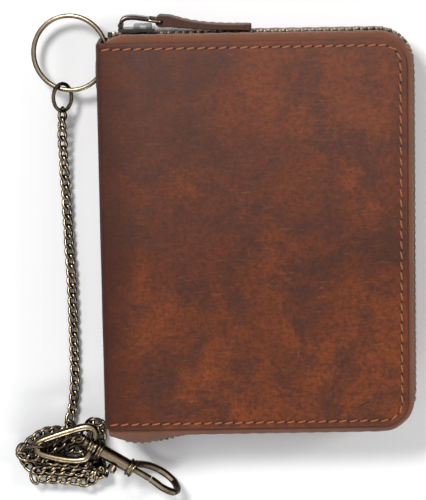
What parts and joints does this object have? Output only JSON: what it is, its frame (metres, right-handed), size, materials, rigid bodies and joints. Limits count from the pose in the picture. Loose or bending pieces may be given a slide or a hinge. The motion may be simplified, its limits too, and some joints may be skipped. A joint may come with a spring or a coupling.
{
  "type": "chain wallet",
  "caption": "Zip-around leather bifold wallet with a key ring through a spine eyelet, a curb chain and a swivel trigger snap hook.",
  "frame": {"origin": "middle of the back cover's outer face", "axes": "+Z through the wallet's thickness towards the front cover, +Y towards the slider's end, +X away from the spine"},
  "size_m": [0.1241, 0.1522, 0.024],
  "materials": {
    "leather": "oiled, mottled, semi-matt",
    "lining": "smooth, matt",
    "tape": "woven",
    "teeth": "antique",
    "slider": "antique, dark",
    "brass": "antique, worn bright on the edges"
  },
  "bodies": {
    "back": {"back_cover": "leather", "spine": "leather", "back_lining": "lining", "note_pocket": "lining", "back_card_pocket_1": "lining", "back_card_pocket_2": "lining", "back_card_pocket_3": "lining", "back_tape": "tape", "back_teeth": "teeth", "top_stop": "slider", "end_stop": "slider", "zip_tail": "tape", "eyelet": "brass", "eyelet_washer": "brass", "jump_link": "brass", "chain_run": "brass", "chain_heap": "brass", "chain_end_link": "brass", "hook_eye": "brass"},
    "front": {"front_cover": "leather", "front_lining": "lining", "card_pocket_1": "lining", "card_pocket_2": "lining", "card_pocket_3": "lining", "card_pocket_4": "lining", "front_tape": "tape", "front_teeth": "teeth"},
    "slider": {"slider_body": "slider", "slider_crown": "slider", "puller_pin": "slider"},
    "puller": {"puller_link": "slider"},
    "tab": {"pull_tab": "leather"},
    "ring": {"key_ring": "brass"},
    "hook": {"hook_body": "brass", "swivel_post": "brass", "bolt_spring": "brass"},
    "bolt": {"bolt": "brass", "thumb_knob": "brass"}
  },
  "joints": [
    {"name": "cover_fold", "type": "hinge", "parent": "back", "child": "front", "pos_m": [-0.04675, 0, 0.02225], "axis": [0, -1, 0], "range_deg": [0, 150]},
    {"name": "slider_slide", "type": "slide", "parent": "back", "child": "slider", "axis": [1, 0, 0], "range_m": [0, 0.06]},
    {"name": "puller_swing", "type": "hinge", "parent": "slider", "child": "puller", "pos_m": [-0.03915, 0.0641, 0.012], "axis": [0, 0, 1], "range_deg": [0, 120]},
    {"name": "tab_swing", "type": "hinge", "parent": "puller", "child": "tab", "pos_m": [-0.02685, 0.0653, 0.012], "axis": [0, 0, 1], "range_deg": [0, 60]},
    {"name": "ring_spin", "type": "hinge", "parent": "back", "child": "ring", "pos_m": [-0.0551, 0.0555, 0.00759], "axis": [-0.1564, 0, 0.9877], "continuous": true},
    {"name": "hook_swivel", "type": "hinge", "parent": "back", "child": "hook", "pos_m": [-0.0506, -0.0682, 0.0083], "axis": [0.8508, -0.5255, 0], "range_deg": [0, 90]},
    {"name": "bolt_slide", "type": "slide", "parent": "hook", "child": "bolt", "axis": [-0.8508, 0.5255, 0], "range_m": [0, 0.0038], "stiffness_N_per_m": 300, "springref_m": -0.002, "deforming": ["bolt_spring"]}
  ]
}
